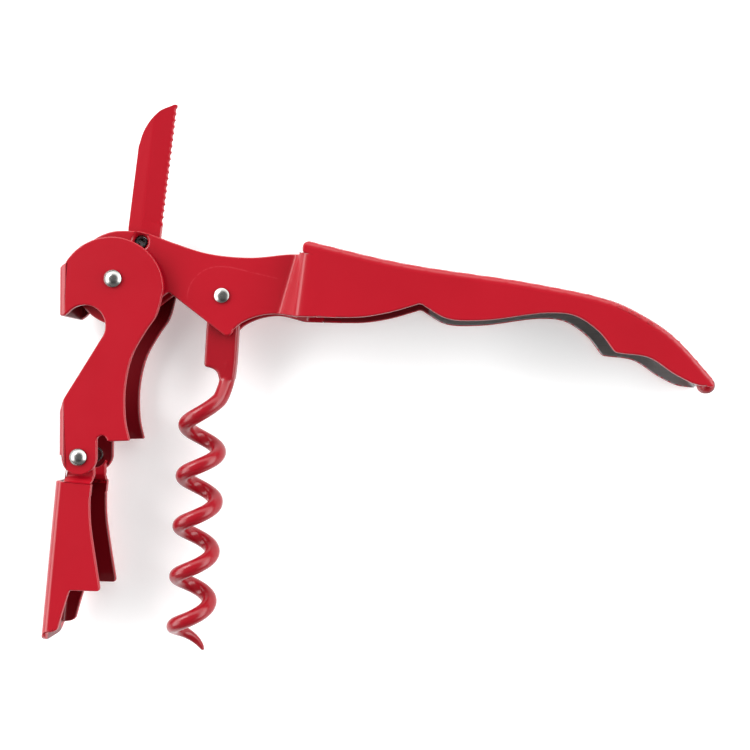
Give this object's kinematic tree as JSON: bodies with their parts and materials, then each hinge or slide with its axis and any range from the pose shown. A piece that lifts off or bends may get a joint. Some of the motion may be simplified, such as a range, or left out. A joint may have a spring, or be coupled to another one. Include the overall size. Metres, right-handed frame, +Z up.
{
  "type": "lever corkscrew",
  "caption": "Folding waiter's corkscrew: a folded sheet-steel handle with a double-stage lever and cap opener, a hinged open-helix worm and a fold-out serrated foil knife.",
  "frame": {"origin": "under the middle of the open tool's bounding box, on the surface that it lies on", "axes": "+X along the handle from the pivots to the tail, +Y across it from the lever's foot to the knife's point, +Z up through the tool's width, parallel to every pivot"},
  "size_m": [0.1212, 0.101, 0.0128],
  "materials": {
    "red_coating": "gloss",
    "bright_steel": "polished",
    "dark_steel": "dull"
  },
  "bodies": {
    "handle": {"handle_body": "red_coating", "worm_rivet": "bright_steel", "knife_pin": "dark_steel", "knife_washer_front": "bright_steel", "knife_washer_back": "bright_steel", "lever_spacer": "dark_steel", "lever_washer_front": "bright_steel", "lever_washer_back": "bright_steel"},
    "lever_axle": {"lever_rivet": "bright_steel"},
    "upper_lever": {"lever_upper": "red_coating", "hinge_rivet": "bright_steel"},
    "lower_lever": {"lever_lower": "red_coating"},
    "worm": {"worm": "red_coating"},
    "knife": {"foil_knife": "red_coating"}
  },
  "joints": [
    {"name": "lever_fold", "type": "hinge", "parent": "handle", "child": "lever_axle", "pos_m": [-0.04739, 0.01774, 0.0064], "axis": [0, 0, 1], "range_deg": [0, 74]},
    {"name": "lever_swing", "type": "hinge", "parent": "lever_axle", "child": "upper_lever", "pos_m": [-0.04739, 0.01774, 0.0064], "axis": [0, 0, 1], "range_deg": [-30, 5]},
    {"name": "lower_lever_hinge", "type": "hinge", "parent": "upper_lever", "child": "lower_lever", "pos_m": [-0.05349, -0.01406, 0.0064], "axis": [0, 0, 1], "range_deg": [-35, 10]},
    {"name": "worm_fold", "type": "hinge", "parent": "handle", "child": "worm", "pos_m": [-0.02839, 0.01494, 0.0064], "axis": [0, 0, 1], "range_deg": [0, 92]},
    {"name": "knife_fold", "type": "hinge", "parent": "handle", "child": "knife", "pos_m": [-0.04329, 0.02474, 0.0064], "axis": [0, 0, 1], "range_deg": [-92, 20]}
  ],
  "couplings": [
    {"joint": "worm_fold", "follows": "lever_fold", "ratio": 1.2432}
  ]
}
